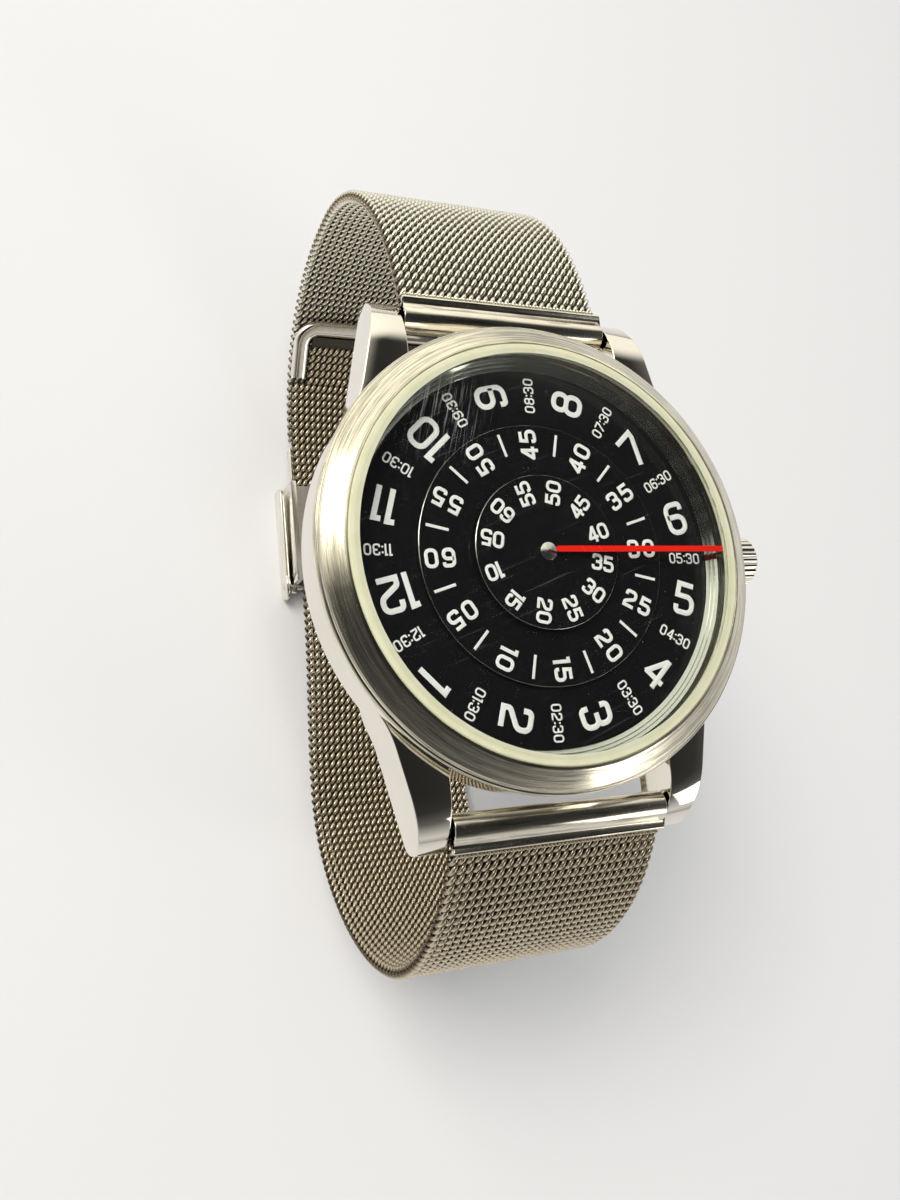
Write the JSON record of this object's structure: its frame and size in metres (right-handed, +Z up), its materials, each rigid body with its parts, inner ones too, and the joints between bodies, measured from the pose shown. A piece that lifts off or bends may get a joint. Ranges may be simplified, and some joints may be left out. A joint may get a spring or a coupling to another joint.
{
  "type": "disc dial wristwatch",
  "caption": "Round steel wristwatch with turning hour, minute and seconds discs under a fixed red pointer, on a woven steel strap with a hinged clasp.",
  "frame": {"origin": "centre of the case back's outer face, on the dial axis", "axes": "+Z up through the dial to the crystal, +X to the crown at 3 o'clock, +Y to 12 o'clock"},
  "size_m": [0.0432, 0.0779, 0.0471],
  "materials": {
    "polished_steel": "mirror-polished stainless steel",
    "brushed_steel": "circularly brushed stainless steel",
    "woven_steel": "fine woven stainless steel wire",
    "crystal_glass": "flat mineral glass, lightly scratched",
    "gasket_nylon": "pale cream translucent nylon",
    "dial_black": "gloss black lacquer with printed white numerals",
    "pointer_red": "bright red lacquer",
    "seal_rubber": "black rubber",
    "holder_plastic": "white moulded plastic",
    "movement_brass": "brass",
    "movement_steel": "bare steel",
    "blued_steel": "blued steel",
    "board_green": "circuit board",
    "coil_copper": "enamelled copper wire"
  },
  "bodies": {
    "case": {"case_middle": "polished_steel", "bezel": "brushed_steel", "crystal": "crystal_glass", "crystal_gasket": "gasket_nylon", "rehaut_ring": "polished_steel", "pointer": "pointer_red", "case_back": "brushed_steel", "case_back_gasket": "seal_rubber", "crown_tube": "movement_steel", "movement_holder": "holder_plastic", "dial_plate": "dial_black", "main_plate": "movement_brass", "train_bridge": "movement_steel", "bridge_screws": "blued_steel", "circuit_board": "board_green", "quartz_can": "movement_steel", "coil": "coil_copper", "stator": "movement_steel", "battery": "movement_steel", "battery_clip": "movement_brass", "spring_bar_12": "movement_steel", "spring_bar_6": "movement_steel", "sleeve_6": "polished_steel", "mesh_6": "woven_steel", "strap_tip": "polished_steel", "clasp_tray": "polished_steel", "lock_pin": "movement_steel"},
    "seconds": {"second_disc": "dial_black", "hub_cap": "polished_steel", "second_wheel": "movement_brass"},
    "minutes": {"minute_disc": "dial_black", "minute_wheel": "movement_brass"},
    "hours": {"hour_disc": "dial_black", "hour_wheel": "movement_brass"},
    "third": {"third_wheel": "movement_brass"},
    "fifth": {"fifth_wheel": "movement_brass"},
    "motor": {"rotor": "movement_steel"},
    "minute_work": {"minute_work_wheel": "movement_brass"},
    "clutch": {"clutch_wheel": "movement_steel"},
    "crown_and_stem": {"crown": "polished_steel", "winding_stem": "movement_steel", "crown_seal": "seal_rubber"},
    "lever": {"setting_lever": "movement_steel"},
    "cover": {"clasp_cover": "polished_steel", "cover_pin": "movement_steel"},
    "strap_12": {"sleeve_12": "polished_steel", "mesh_12": "woven_steel", "hook_bracket": "polished_steel"},
    "lock": {"lock_plate": "polished_steel"}
  },
  "joints": [
    {"name": "seconds_turn", "type": "hinge", "parent": "case", "child": "seconds", "pos_m": [0, 0, 0.0064], "axis": [0, 0, -1], "continuous": true},
    {"name": "minutes_turn", "type": "hinge", "parent": "case", "child": "minutes", "pos_m": [0, 0, 0.0058], "axis": [0, 0, -1], "continuous": true},
    {"name": "hours_turn", "type": "hinge", "parent": "case", "child": "hours", "pos_m": [0, 0, 0.0053], "axis": [0, 0, -1], "continuous": true},
    {"name": "third_turn", "type": "hinge", "parent": "case", "child": "third", "pos_m": [-0.00257, -0.00306, 0.003], "axis": [0, 0, -1], "continuous": true},
    {"name": "fifth_turn", "type": "hinge", "parent": "case", "child": "fifth", "pos_m": [-0.0012, 0.00329, 0.003], "axis": [0, 0, -1], "continuous": true},
    {"name": "rotor_turn", "type": "hinge", "parent": "case", "child": "motor", "pos_m": [-0.00345, 0.00411, 0.003], "axis": [0, 0, -1], "continuous": true},
    {"name": "minute_work_turn", "type": "hinge", "parent": "case", "child": "minute_work", "pos_m": [0.0015, 0.0026, 0.003], "axis": [0, 0, -1], "continuous": true},
    {"name": "crown_turn", "type": "hinge", "parent": "case", "child": "clutch", "pos_m": [0.0056, 0, 0.00255], "axis": [1, 0, 0], "continuous": true},
    {"name": "crown_pull", "type": "slide", "parent": "clutch", "child": "crown_and_stem", "axis": [1, 0, 0], "range_m": [0, 0.001]},
    {"name": "setting_lever_turn", "type": "hinge", "parent": "case", "child": "lever", "pos_m": [0.0086, -0.0018, 0.002], "axis": [0, 0, -1], "range_deg": [0, 40]},
    {"name": "cover_open", "type": "hinge", "parent": "case", "child": "cover", "pos_m": [0, 0.007, -0.0369], "axis": [-1, 0, 0], "range_deg": [0, 110]},
    {"name": "strap_swing", "type": "hinge", "parent": "case", "child": "strap_12", "pos_m": [0, 0.0214, 0.0034], "axis": [1, 0, 0], "range_deg": [0, 22]},
    {"name": "lock_open", "type": "hinge", "parent": "case", "child": "lock", "pos_m": [0, 0.0084, -0.03385], "axis": [1, 0, 0], "range_deg": [0, 65]}
  ],
  "couplings": [
    {"joint": "seconds_turn", "follows": "minutes_turn", "ratio": 60},
    {"joint": "hours_turn", "follows": "minutes_turn", "ratio": 0.083333},
    {"joint": "third_turn", "follows": "minutes_turn", "ratio": -8},
    {"joint": "fifth_turn", "follows": "minutes_turn", "ratio": -360},
    {"joint": "rotor_turn", "follows": "minutes_turn", "ratio": 1800},
    {"joint": "minute_work_turn", "follows": "minutes_turn", "ratio": -0.33333},
    {"joint": "setting_lever_turn", "follows": "crown_pull", "rad_per_m": 558.5},
    {"joint": "strap_swing", "follows": "cover_open", "ratio": 0.2}
  ]
}
